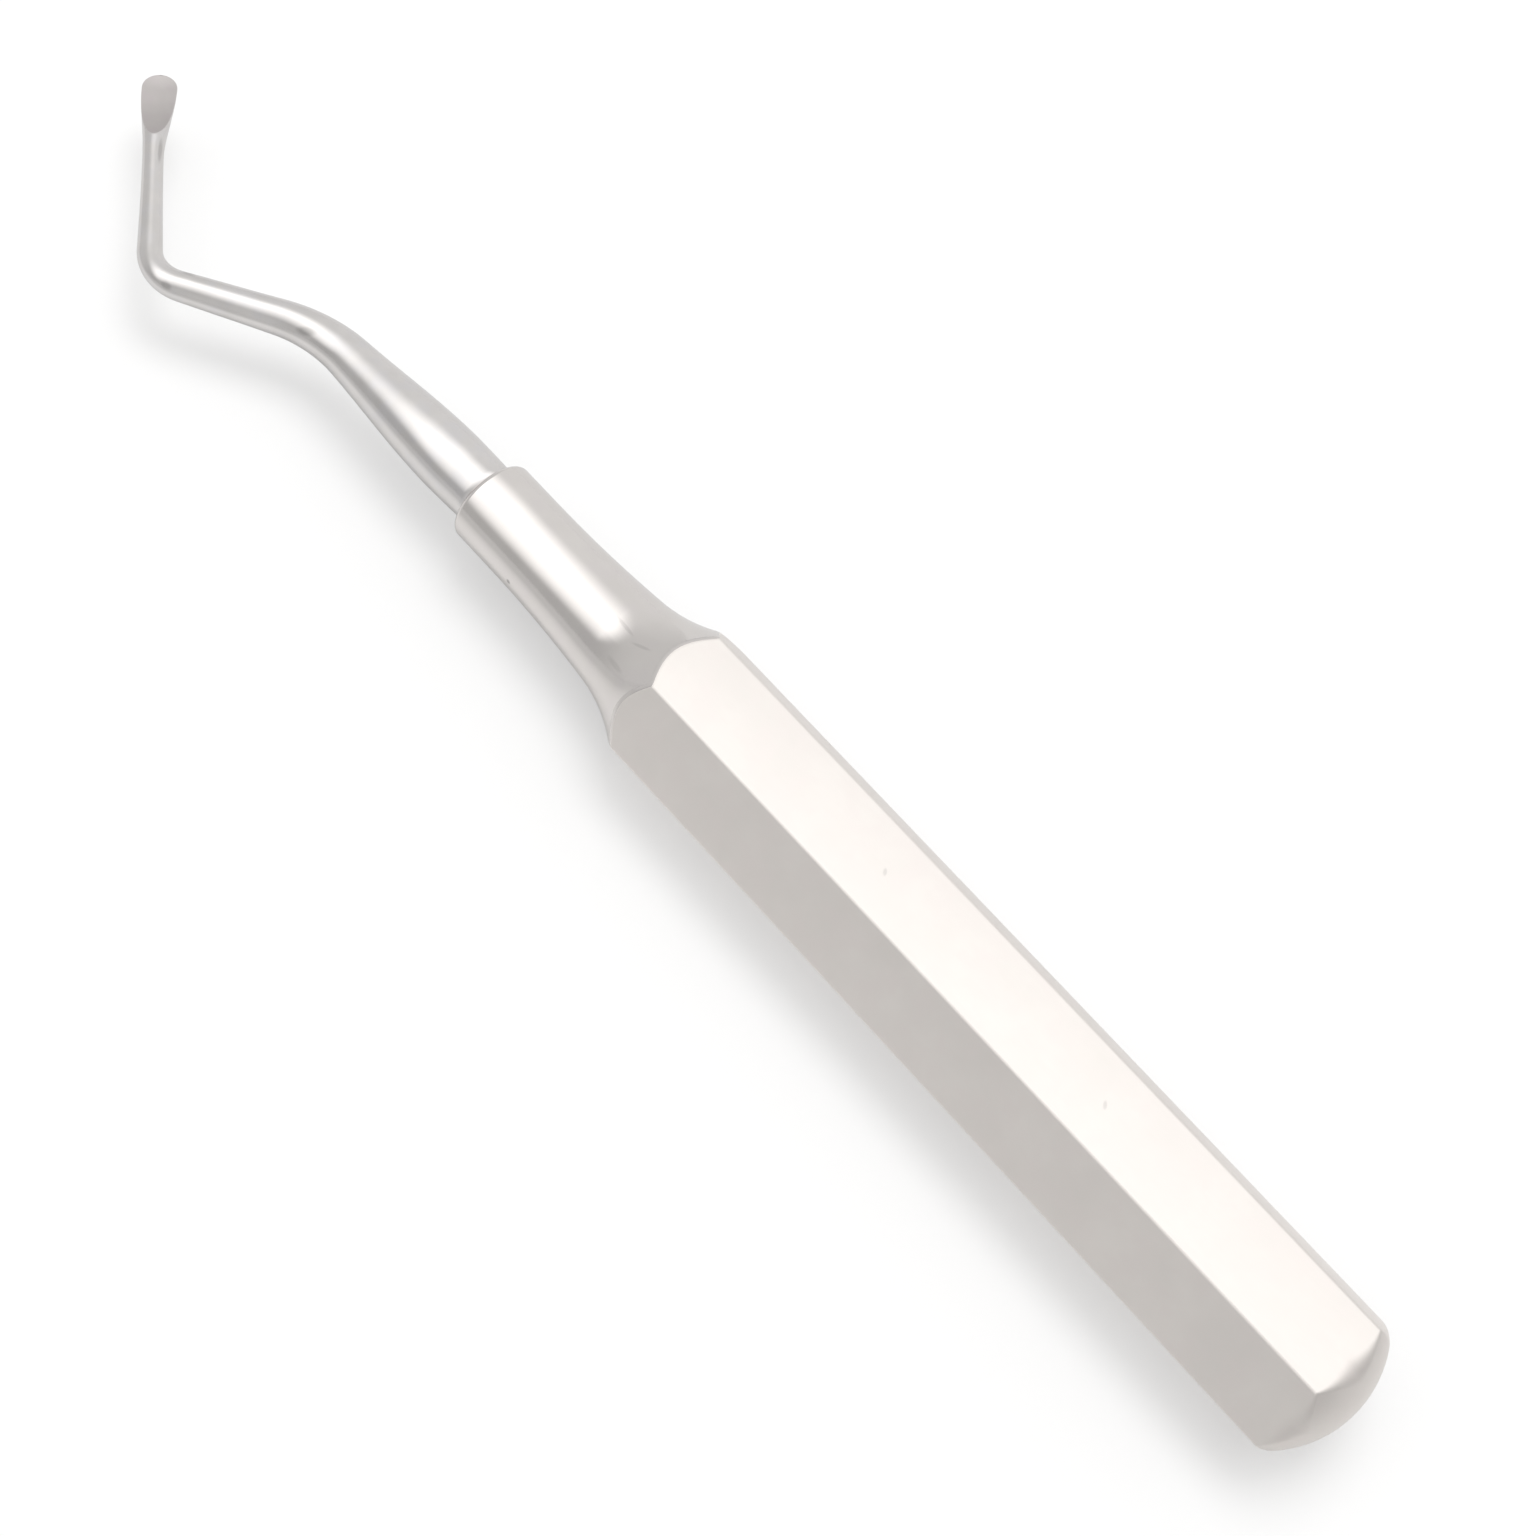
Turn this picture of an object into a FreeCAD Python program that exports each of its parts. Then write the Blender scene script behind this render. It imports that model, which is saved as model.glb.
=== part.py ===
import FreeCAD, Part
import math
import os

# Surgical curette with a hexagonal handle, in millimetres.
# Frame: +X runs from the butt to the working end, +Y is the side of the elbow, +Z is up.
# The origin lies on the flat that the handle rests on, under the middle of the grip.

# Grip: a hexagonal bar with a domed butt
across_flats = 12.7
grip_length = 72.6
dome_radius = 9.6
edge_round = 0.5

# Neck and collar, turned from the same bar
flare_radius = 14.0
swell_radius = 130.0
swell_length = 12.8
collar_diameter = 7.9
collar_length = 4.7
collar_edge_round = 1.2

# Tang of the working end and its socket in the collar
tang_diameter = 4.0
tang_length = 14.0
tang_chamfer = 0.4
tang_clearance = 0.02
socket_spare_depth = 0.6
drill_point_angle = 118.0
crease_width = 0.25

# Centreline of the shank, in the horizontal plane through the handle's axis
shank_lean = 1.6
lean_radius = 60.0
first_bend_distance = 21.9
first_bend_angle = 31.0
first_bend_radius = 14.0
run_between_bends = 15.7
second_bend_angle = -69.7
second_bend_radius = 4.1
run_to_spoon = 14.0
spoon_toe_in = -3.0
spoon_toe_radius = 20.0

# Diameters of the shank, from the collar to the throat behind the spoon
root_diameter = 5.8
belly_diameter = 6.0
belly_distance = 4.5
waist_diameter = 4.15
middle_diameter = 3.22
elbow_diameter = 2.66
forearm_diameter = 2.22
throat_diameter = 1.84
throat_setback = 1.4

# Spoon: an egg-shaped bowl ground into a flattened, round-nosed tip
spoon_width = 3.14
spoon_thickness = 2.0
throat_to_nose_centre = 7.2
rim_height = 0.25
rim_flat_length = 2.7
rim_runout_radius = 4.5
rim_runout_turn = 60.0
bowl_wall = 0.12
bowl_depth = 0.95
bowl_heel_setback = 1.7
bowl_heel_radius = 1.2

# Spacing of the round sections that the shank is lofted through
section_spacing = 1.6
elbow_sections = 5

axis_height = across_flats / 2.0
corner_radius = across_flats / math.sqrt(3.0)
collar_radius = collar_diameter / 2.0
spoon_radius = spoon_width / 2.0
throat_radius = throat_diameter / 2.0
ELBOW = 4
NEARLY_ROUND = 0.001
ORIGIN = FreeCAD.Vector(0, 0, 0)
X_AXIS = FreeCAD.Vector(1, 0, 0)
Z_AXIS = FreeCAD.Vector(0, 0, 1)


def on_axis(x, radius=0.0):
    """Point beside the handle's axis, at a radius above it."""
    return FreeCAD.Vector(x, 0, axis_height + radius)


def revolve_about_axis(edges):
    """Solid of revolution about the handle's axis from a closed outline."""
    face = Part.Face(Part.Wire(edges))
    return face.revolve(on_axis(0), X_AXIS, 360)


def handle_stations():
    """Stations of the handle along X, all worked out from the grip and the turned profile."""
    swell_angle = math.asin(swell_length / swell_radius)
    swell_rise = swell_radius * (1 - math.cos(swell_angle))
    neck_radius = collar_radius + swell_rise
    corner_angle = math.acos(math.cos(swell_angle) - (corner_radius - neck_radius) / flare_radius)
    flare_run = flare_radius * (math.sin(corner_angle) - math.sin(swell_angle))
    shoulder = grip_length / 2.0
    flare_end = shoulder + flare_run
    barrel_start = flare_end + swell_length
    return {
        "shoulder": shoulder,
        "flare_end": flare_end,
        "barrel_start": barrel_start,
        "front": barrel_start + collar_length,
        "neck_radius": neck_radius,
        "swell_angle": swell_angle,
        "dome_centre": -shoulder + math.sqrt(dome_radius ** 2 - corner_radius ** 2),
    }


station = handle_stations()


def arc_through(centre_x, centre_r, radius, angle_a, angle_b):
    """Arc in the axial plane; angles are measured from +X towards +Z."""
    points = []
    for angle in (angle_a, (angle_a + angle_b) / 2.0, angle_b):
        points.append(on_axis(centre_x + radius * math.cos(angle), centre_r + radius * math.sin(angle)))
    return Part.Arc(*points).toShape()


def turned_profile():
    """Outline that the bar is turned to: dome, flare, swell, collar and its rounded front edge."""
    blank_radius = corner_radius + edge_round
    dome_angle = math.pi - math.asin(blank_radius / dome_radius)
    dome_x = station["dome_centre"] + dome_radius * math.cos(dome_angle)
    swell = station["swell_angle"]
    flare_centre_x = station["flare_end"] + flare_radius * math.sin(swell)
    flare_centre_r = station["neck_radius"] + flare_radius * math.cos(swell)
    blank_angle = math.acos((flare_centre_r - blank_radius) / flare_radius)
    blank_x = flare_centre_x - flare_radius * math.sin(blank_angle)
    down = -math.pi / 2.0
    front = station["front"]
    round_x = front - collar_edge_round
    return [
        arc_through(station["dome_centre"], 0.0, dome_radius, math.pi, dome_angle),
        Part.makeLine(on_axis(dome_x, blank_radius), on_axis(blank_x, blank_radius)),
        arc_through(flare_centre_x, flare_centre_r, flare_radius, down - blank_angle, down - swell),
        arc_through(station["barrel_start"], collar_radius + swell_radius, swell_radius, down - swell, down),
        Part.makeLine(on_axis(station["barrel_start"], collar_radius), on_axis(round_x, collar_radius)),
        arc_through(round_x, collar_radius - collar_edge_round, collar_edge_round, math.pi / 2.0, 0.0),
        Part.makeLine(on_axis(front, collar_radius - collar_edge_round), on_axis(front)),
        Part.makeLine(on_axis(front), on_axis(station["dome_centre"] - dome_radius)),
    ]


def hexagonal_bar():
    """Sharp-edged bar that stands on a flat."""
    start = station["dome_centre"] - 2.0 * dome_radius
    length = station["front"] + dome_radius - start
    corners = []
    for index in range(6):
        angle = math.radians(60 * index)
        offset = FreeCAD.Vector(0, corner_radius * math.cos(angle), corner_radius * math.sin(angle))
        corners.append(on_axis(start) + offset)
    hexagon = Part.Face(Part.makePolygon(corners + corners[:1]))
    return hexagon.extrude(X_AXIS * length)


def soften_edges(blank):
    """Rounds the six long edges and the edges where the flats run out into the dome."""
    soft = []
    scallop = 2.0 * (corner_radius - axis_height)
    for edge in blank.Edges:
        low = edge.BoundBox.XMin
        high = edge.BoundBox.XMax
        at_corner = abs(edge.CenterOfMass.distanceToLine(on_axis(0), X_AXIS) - corner_radius) < edge_round / 2.0
        is_long = high - low > grip_length / 2.0 and at_corner
        is_dome = high < 0 and low > -station["shoulder"] - scallop
        if is_long or is_dome:
            soft.append(edge)
    return blank.makeFillet(edge_round, soft)


def socket():
    """Blind drilled hole that takes the tang."""
    radius = tang_diameter / 2.0 + tang_clearance
    bottom = station["front"] - tang_length - socket_spare_depth
    point = bottom - radius / math.tan(math.radians(drill_point_angle / 2.0))
    outline = [on_axis(point), on_axis(bottom, radius), on_axis(station["front"], radius), on_axis(station["front"])]
    return revolve_about_axis(Part.makePolygon(outline + outline[:1]).Edges)


def make_handle():
    """Hexagonal grip with its dome, flare, neck and collar, in one piece."""
    blank = hexagonal_bar().common(revolve_about_axis(turned_profile()))
    return soften_edges(blank).cut(socket())


def shank_course():
    """Straight runs and bends of the centreline, as pairs of length and turn in radians."""
    first_tangent = first_bend_radius * math.tan(math.radians(abs(first_bend_angle)) / 2.0)
    second_tangent = second_bend_radius * math.tan(math.radians(abs(second_bend_angle)) / 2.0)
    toe_tangent = spoon_toe_radius * math.tan(math.radians(abs(spoon_toe_in)) / 2.0)
    lean_tangent = lean_radius * math.tan(math.radians(shank_lean) / 2.0)
    return [
        (lean_radius * math.radians(shank_lean), math.radians(shank_lean)),
        (first_bend_distance - first_tangent - 2.0 * lean_tangent, 0.0),
        (first_bend_radius * math.radians(abs(first_bend_angle)), math.radians(first_bend_angle)),
        (run_between_bends - first_tangent - second_tangent, 0.0),
        (second_bend_radius * math.radians(abs(second_bend_angle)), math.radians(second_bend_angle)),
        (run_to_spoon - second_tangent - toe_tangent, 0.0),
        (spoon_toe_radius * math.radians(abs(spoon_toe_in)), math.radians(spoon_toe_in)),
        (throat_to_nose_centre - toe_tangent, 0.0),
    ]


def course_ends():
    """Distance from the collar at which each run or bend ends."""
    ends = []
    total = 0.0
    for length, _ in shank_course():
        total += length
        ends.append(total)
    return ends


def place_on_course(distance):
    """Point on the centreline and its heading in the horizontal plane."""
    x = station["front"]
    y = 0.0
    heading = 0.0
    left = distance
    for length, turn in shank_course():
        step = min(left, length)
        if turn == 0.0:
            x += step * math.cos(heading)
            y += step * math.sin(heading)
        else:
            radius = length / turn
            end = heading + step / radius
            x += radius * (math.sin(end) - math.sin(heading))
            y += radius * (math.cos(heading) - math.cos(end))
            heading = end
        left -= step
    return FreeCAD.Vector(x, y, axis_height), heading


def diameter_stations():
    """Distance and diameter pairs that shape the shank."""
    ends = course_ends()
    return [
        (0.0, root_diameter),
        (belly_distance, belly_diameter),
        (ends[1], waist_diameter),
        (ends[2], middle_diameter),
        (ends[3], elbow_diameter),
        (ends[4], forearm_diameter),
        (ends[6] - throat_setback, throat_diameter),
        (ends[7], spoon_width),
    ]


def diameter_at(distance):
    """Smooth diameter along the shank, with no overshoot between its stations."""
    points = diameter_stations()
    slopes = [(b[1] - a[1]) / (b[0] - a[0]) for a, b in zip(points, points[1:])]
    tangents = [slopes[0]]
    for before, after in zip(slopes, slopes[1:]):
        same_way = before * after > 0
        tangents.append(2.0 * before * after / (before + after) if same_way else 0.0)
    tangents.append(0.0)
    index = 0
    while index < len(slopes) - 1 and distance > points[index + 1][0]:
        index += 1
    (x0, d0), (x1, d1) = points[index], points[index + 1]
    span = x1 - x0
    t = (distance - x0) / span
    rise = t * t * (3 - 2 * t)
    bend_in = t * (1 - t) ** 2 * span * tangents[index]
    bend_out = -t * t * (1 - t) * span * tangents[index + 1]
    return d0 + rise * (d1 - d0) + bend_in + bend_out


def half_height_at(distance):
    """Half the shank's height: round as far as the throat, then flattened into the spoon."""
    half_width = diameter_at(distance) / 2.0
    if distance <= course_ends()[6] - throat_setback:
        return half_width
    share = (half_width - throat_radius) / (spoon_radius - throat_radius)
    return throat_radius + share * (spoon_thickness / 2.0 - throat_radius)


def lift_at(distance):
    """Rise of the section's centre, which keeps the underside of the spoon level."""
    if distance <= course_ends()[6] - throat_setback:
        return 0.0
    return half_height_at(distance) - throat_radius


def section_distances():
    """Distances of the sections: evenly spaced on the runs and closer round the elbow."""
    distances = [0.0]
    start = 0.0
    for index, end in enumerate(course_ends()):
        count = elbow_sections if index == ELBOW else max(1, round((end - start) / section_spacing))
        for step in range(1, count + 1):
            distances.append(start + (end - start) * step / count)
        start = end
    return distances


def section_frame(distance):
    """Placement whose X axis lies across the shank, Y upwards and Z along it."""
    centre, heading = place_on_course(distance)
    forward = FreeCAD.Vector(math.cos(heading), math.sin(heading), 0)
    sideways = Z_AXIS.cross(forward)
    turn = FreeCAD.Rotation(sideways, Z_AXIS, forward, "ZXY")
    return FreeCAD.Placement(centre + Z_AXIS * lift_at(distance), turn)


def shank_section(distance):
    """Oval outline across the centreline."""
    half_width = diameter_at(distance) / 2.0
    half_height = half_height_at(distance)
    if half_width - half_height < NEARLY_ROUND:
        oval = Part.Circle(ORIGIN, Z_AXIS, half_width)
    else:
        oval = Part.Ellipse(ORIGIN, half_width, half_height)
    outline = Part.Wire(oval.toShape())
    outline.Placement = section_frame(distance)
    return outline


def shank_body():
    """Tapering, twice-bent shank that ends at the centre of the spoon's nose."""
    return Part.makeLoft([shank_section(distance) for distance in section_distances()], True, False)


def nose_frame():
    """Placement at the centre of the spoon's nose: X across, Y up, Z forward."""
    return section_frame(course_ends()[-1])


def spoon_nose():
    """Front half of a flattened ball."""
    ball = Part.makeSphere(1.0, ORIGIN, Z_AXIS, 0, 90, 360)
    stretch = FreeCAD.Matrix()
    stretch.scale(spoon_radius, spoon_thickness / 2.0, spoon_radius)
    nose = ball.transformGeometry(stretch)
    nose.Placement = nose_frame()
    return nose


def beside_nose(forward, height):
    """Point in the spoon's plane of symmetry; the height is above the rim."""
    ahead = nose_frame().multVec(Z_AXIS * forward)
    return FreeCAD.Vector(ahead.x, ahead.y, axis_height + rim_height + height)


def rim_cut():
    """Space above the rim, with a run-out that rises to the top of the throat."""
    clear = 2.0 * spoon_width
    last_turn = math.radians(rim_runout_turn)
    arc = []
    for turn in (last_turn, last_turn / 2.0, 0.0):
        forward = -rim_flat_length - rim_runout_radius * math.sin(turn)
        arc.append(beside_nose(forward, rim_runout_radius * (1 - math.cos(turn))))
    top = rim_runout_radius * (1 - math.cos(last_turn))
    edges = [
        Part.Arc(*arc).toShape(),
        Part.makeLine(arc[2], beside_nose(clear, 0)),
        Part.makeLine(beside_nose(clear, 0), beside_nose(clear, top)),
        Part.makeLine(beside_nose(clear, top), arc[0]),
    ]
    sideways = nose_frame().Rotation.multVec(X_AXIS) * clear
    outline = Part.Face(Part.Wire(edges))
    outline.translate(sideways * -0.5)
    return outline.extrude(sideways)


def bowl_cut():
    """Egg-shaped hollow, round about a line above the rim."""
    half_width = spoon_radius - bowl_wall
    axis_above_rim = (half_width ** 2 - bowl_depth ** 2) / (2.0 * bowl_depth)
    nose_radius = axis_above_rim + bowl_depth
    heel = bowl_heel_setback + bowl_heel_radius - throat_to_nose_centre
    slope = math.asin((nose_radius - bowl_heel_radius) / -heel)
    side = math.pi / 2.0 + slope
    arcs = []
    for centre, radius, first, last in ((heel, bowl_heel_radius, math.pi, side), (0.0, nose_radius, side, 0.0)):
        arc = []
        for angle in (first, (first + last) / 2.0, last):
            arc.append(beside_nose(centre + radius * math.cos(angle), axis_above_rim + radius * math.sin(angle)))
        arcs.append(arc)
    edges = [
        Part.Arc(*arcs[0]).toShape(),
        Part.makeLine(arcs[0][2], arcs[1][0]),
        Part.Arc(*arcs[1]).toShape(),
        Part.makeLine(arcs[1][2], arcs[0][0]),
    ]
    forward = nose_frame().Rotation.multVec(Z_AXIS)
    return Part.Face(Part.Wire(edges)).revolve(beside_nose(0, axis_above_rim), forward, 360)


def tang():
    """Pin that seats in the handle's socket."""
    radius = tang_diameter / 2.0
    front = station["front"]
    tail = front - tang_length
    outline = [
        on_axis(tail),
        on_axis(tail, radius - tang_chamfer),
        on_axis(tail + tang_chamfer, radius),
        on_axis(front, radius),
        on_axis(front),
    ]
    return revolve_about_axis(Part.makePolygon(outline + outline[:1]).Edges)


def make_working_end():
    """Shank, spoon and tang in one piece, with a small crease all round the root."""
    shank = shank_body()
    root_edges = [edge for edge in shank.Edges if edge.BoundBox.XMax < station["front"] + crease_width]
    chamfered = shank.makeChamfer(crease_width, root_edges)
    spoon = chamfered.fuse(spoon_nose()).cut(rim_cut()).cut(bowl_cut())
    return spoon.fuse(tang()).removeSplitter()


def export(name, shape):
    """Writes one valid solid as a STEP file named after its node."""
    solids = shape.Solids
    if len(solids) != 1 or not shape.isValid():
        raise ValueError(name + " is not one valid solid")
    solids[0].exportStep(os.path.join("parts", name + ".step"))


os.makedirs("parts", exist_ok=True)
export("handle", make_handle())
export("working_end", make_working_end())
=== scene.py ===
"""Dresses the surgical curette: a satin hexagonal grip with a polished neck, and a polished bent working end.

Shapes are modelled in millimetres in the part's own frame and brought to metres at the end of each piece.
"""
import sys

import logging
import math
from dataclasses import dataclass, field
from enum import Enum
from itertools import accumulate
from typing import Callable, Dict, List, Optional, Sequence, Tuple

import bmesh
import bpy
from mathutils import Matrix, Vector


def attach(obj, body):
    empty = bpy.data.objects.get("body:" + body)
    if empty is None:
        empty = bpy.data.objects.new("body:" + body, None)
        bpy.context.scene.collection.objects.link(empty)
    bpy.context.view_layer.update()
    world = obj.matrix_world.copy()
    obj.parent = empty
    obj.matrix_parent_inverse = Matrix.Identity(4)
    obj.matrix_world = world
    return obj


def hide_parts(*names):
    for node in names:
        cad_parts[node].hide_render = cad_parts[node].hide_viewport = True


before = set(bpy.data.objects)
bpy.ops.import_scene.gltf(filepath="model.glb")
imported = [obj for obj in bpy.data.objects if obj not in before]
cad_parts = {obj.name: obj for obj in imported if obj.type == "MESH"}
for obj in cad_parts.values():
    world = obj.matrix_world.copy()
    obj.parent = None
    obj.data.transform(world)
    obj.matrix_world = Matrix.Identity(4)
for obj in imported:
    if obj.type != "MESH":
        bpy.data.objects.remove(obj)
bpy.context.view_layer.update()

LOG = logging.getLogger("curette")

# One millimetre in metres; below it, lengths are in millimetres and angles in degrees
MM = 0.001
CREASE_ANGLE = 32.0
CORNERS = 6
SECTOR = 360.0 / CORNERS
WELD_DISTANCE = 1e-5
CUT_WELD_DISTANCE = 2e-4
BUMP_HEIGHT = 0.02

# A right angle in radians
QUARTER_TURN = math.radians(90.0)

# Patterns in the steel
GRAIN_SHIFT = (1.0, 1.7, 0.6)
GRAIN_MIDDLE = 0.5
CLOUD_SEED = 4.0
GRAIN_SEED = 11.0
MOTTLE_SEED = 23.0
CLOUD_DETAIL = 3.0
FINE_DETAIL = 2.0
CLOUD_SPAN = (0.3, 0.7)
MOTTLE_SPAN = (0.42, 0.68)
MARK_SPAN = (0.35, 1.0)

# Short names of types
Triple = Tuple[float, float, float]
Span = Tuple[float, float]
Ring = List[Vector]
Socket = bpy.types.NodeSocket
Piece = bpy.types.Object


class Slot(Enum):
    """The record's material slots that the pieces take their finish from."""

    HANDLE = "handle_steel"
    WORKING_END = "polished_steel"


class Zone(Enum):
    """The finishes, by where they lie on the curette."""

    SATIN = 0
    POLISHED = 1
    BOWL = 2


# Modelling bench


class Bench:
    """Selection, edit mode and finishing steps that every piece needs."""

    @staticmethod
    def clear() -> None:
        """Leaves edit mode and deselects everything."""
        if bpy.context.object is not None and bpy.context.object.mode != "OBJECT":
            bpy.ops.object.mode_set(mode="OBJECT")
        bpy.ops.object.select_all(action="DESELECT")

    @staticmethod
    def pick(obj: Piece) -> None:
        """Makes one object the only selected and the active one.

        Args:
            obj: the object to work on.
        """
        Bench.clear()
        obj.select_set(True)
        bpy.context.view_layer.objects.active = obj

    @staticmethod
    def edit(obj: Piece) -> None:
        """Opens one object in edit mode with all of it selected.

        Args:
            obj: the mesh object.
        """
        Bench.pick(obj)
        bpy.ops.object.mode_set(mode="EDIT")
        bpy.ops.mesh.select_all(action="SELECT")

    @staticmethod
    def apply(obj: Piece, name: str) -> None:
        """Applies one modifier of an object, by the modifier's name."""
        Bench.pick(obj)
        bpy.ops.object.modifier_apply(modifier=name)

    @staticmethod
    def cut(obj: Piece, tool: Piece) -> None:
        """Takes one closed shape away from another, with the tool's finish on the cut, and removes the tool.

        Args:
            obj: the shape that is kept.
            tool: the closed shape that is taken away.
        """
        modifier = obj.modifiers.new("cut", "BOOLEAN")
        modifier.operation = "DIFFERENCE"
        modifier.solver = "EXACT"
        modifier.material_mode = "TRANSFER"
        modifier.object = tool
        Bench.apply(obj, modifier.name)
        bpy.data.objects.remove(tool, do_unlink=True)

    @staticmethod
    def weld(obj: Piece, distance: float) -> None:
        """Merges points that fall together and turns all faces outwards.

        Args:
            obj: the mesh object.
            distance: the largest gap that is closed, in the mesh's own unit.
        """
        Bench.edit(obj)
        bpy.ops.mesh.remove_doubles(threshold=distance)
        bpy.ops.mesh.dissolve_degenerate(threshold=distance)
        bpy.ops.mesh.normals_make_consistent(inside=False)
        bpy.ops.object.mode_set(mode="OBJECT")

    @staticmethod
    def to_metres(obj: Piece) -> None:
        """Scales the mesh about the frame's origin, and leaves the object itself unscaled.

        Args:
            obj: the mesh object, modelled in millimetres.
        """
        Bench.edit(obj)
        bpy.ops.transform.resize(value=(MM, MM, MM), center_override=(0.0, 0.0, 0.0))
        bpy.ops.object.mode_set(mode="OBJECT")

    @staticmethod
    def smooth(obj: Piece) -> None:
        """Smooth shading with crisp edges over the crease angle, and normals that keep wide faces flat.

        Args:
            obj: the mesh object.
        """
        Bench.pick(obj)
        bpy.ops.object.shade_smooth_by_angle(angle=math.radians(CREASE_ANGLE))
        modifier = obj.modifiers.new("weighted", "WEIGHTED_NORMAL")
        modifier.mode = "FACE_AREA"
        modifier.keep_sharp = True
        Bench.apply(obj, modifier.name)


class RingTurner:
    """Grows a closed skin from ring to ring, as a form is drawn up on a wheel."""

    def __init__(self, name: str, first: Ring) -> None:
        """Starts from one ring.

        Args:
            name: the new object's name.
            first: the ring's points, in order round the form.
        """
        Bench.clear()
        bpy.ops.mesh.primitive_circle_add(vertices=len(first), radius=1.0, fill_type="NOTHING")
        self.obj = bpy.context.object
        self.obj.name = name
        self.obj.data.name = name
        Bench.edit(self.obj)
        mesh = bmesh.from_edit_mesh(self.obj.data)
        mesh.verts.layers.int.new("spoke")
        mesh.verts.layers.int.new("ring")
        spoke = mesh.verts.layers.int["spoke"]
        for number, vertex in enumerate(mesh.verts):
            vertex[spoke] = number
        self.count = 0
        self._place(first)
        bpy.ops.mesh.edge_face_add()
        bpy.ops.mesh.select_all(action="SELECT")

    def _place(self, points: Ring) -> None:
        """Puts the selected ring's points in place.

        Args:
            points: where each spoke's point goes.
        """
        mesh = bmesh.from_edit_mesh(self.obj.data)
        spoke = mesh.verts.layers.int["spoke"]
        ring = mesh.verts.layers.int["ring"]
        for vertex in mesh.verts:
            if vertex.select:
                vertex.co = points[vertex[spoke]]
                vertex[ring] = self.count
        bmesh.update_edit_mesh(self.obj.data)
        self.count += 1

    def grow(self, points: Ring) -> int:
        """Extrudes the last ring to a new place.

        Args:
            points: the new ring's points, one for each spoke.

        Returns:
            The new ring's number.
        """
        bpy.ops.mesh.extrude_region_move()
        self._place(points)
        return self.count - 1

    def close(self) -> Piece:
        """Ends the form, welds it and leaves edit mode.

        Returns:
            The finished object.
        """
        bpy.ops.object.mode_set(mode="OBJECT")
        Bench.weld(self.obj, WELD_DISTANCE)
        return self.obj

    @staticmethod
    def pick_ring(obj: Piece, number: int) -> None:
        """Selects the edges of one ring in edit mode.

        Args:
            obj: the form, in edit mode.
            number: the ring's number.
        """
        bpy.ops.mesh.select_all(action="DESELECT")
        mesh = bmesh.from_edit_mesh(obj.data)
        ring = mesh.verts.layers.int["ring"]
        for edge in mesh.edges:
            if all(vertex[ring] == number for vertex in edge.verts):
                edge.select_set(True)
        bmesh.update_edit_mesh(obj.data)


# Finishes


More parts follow.
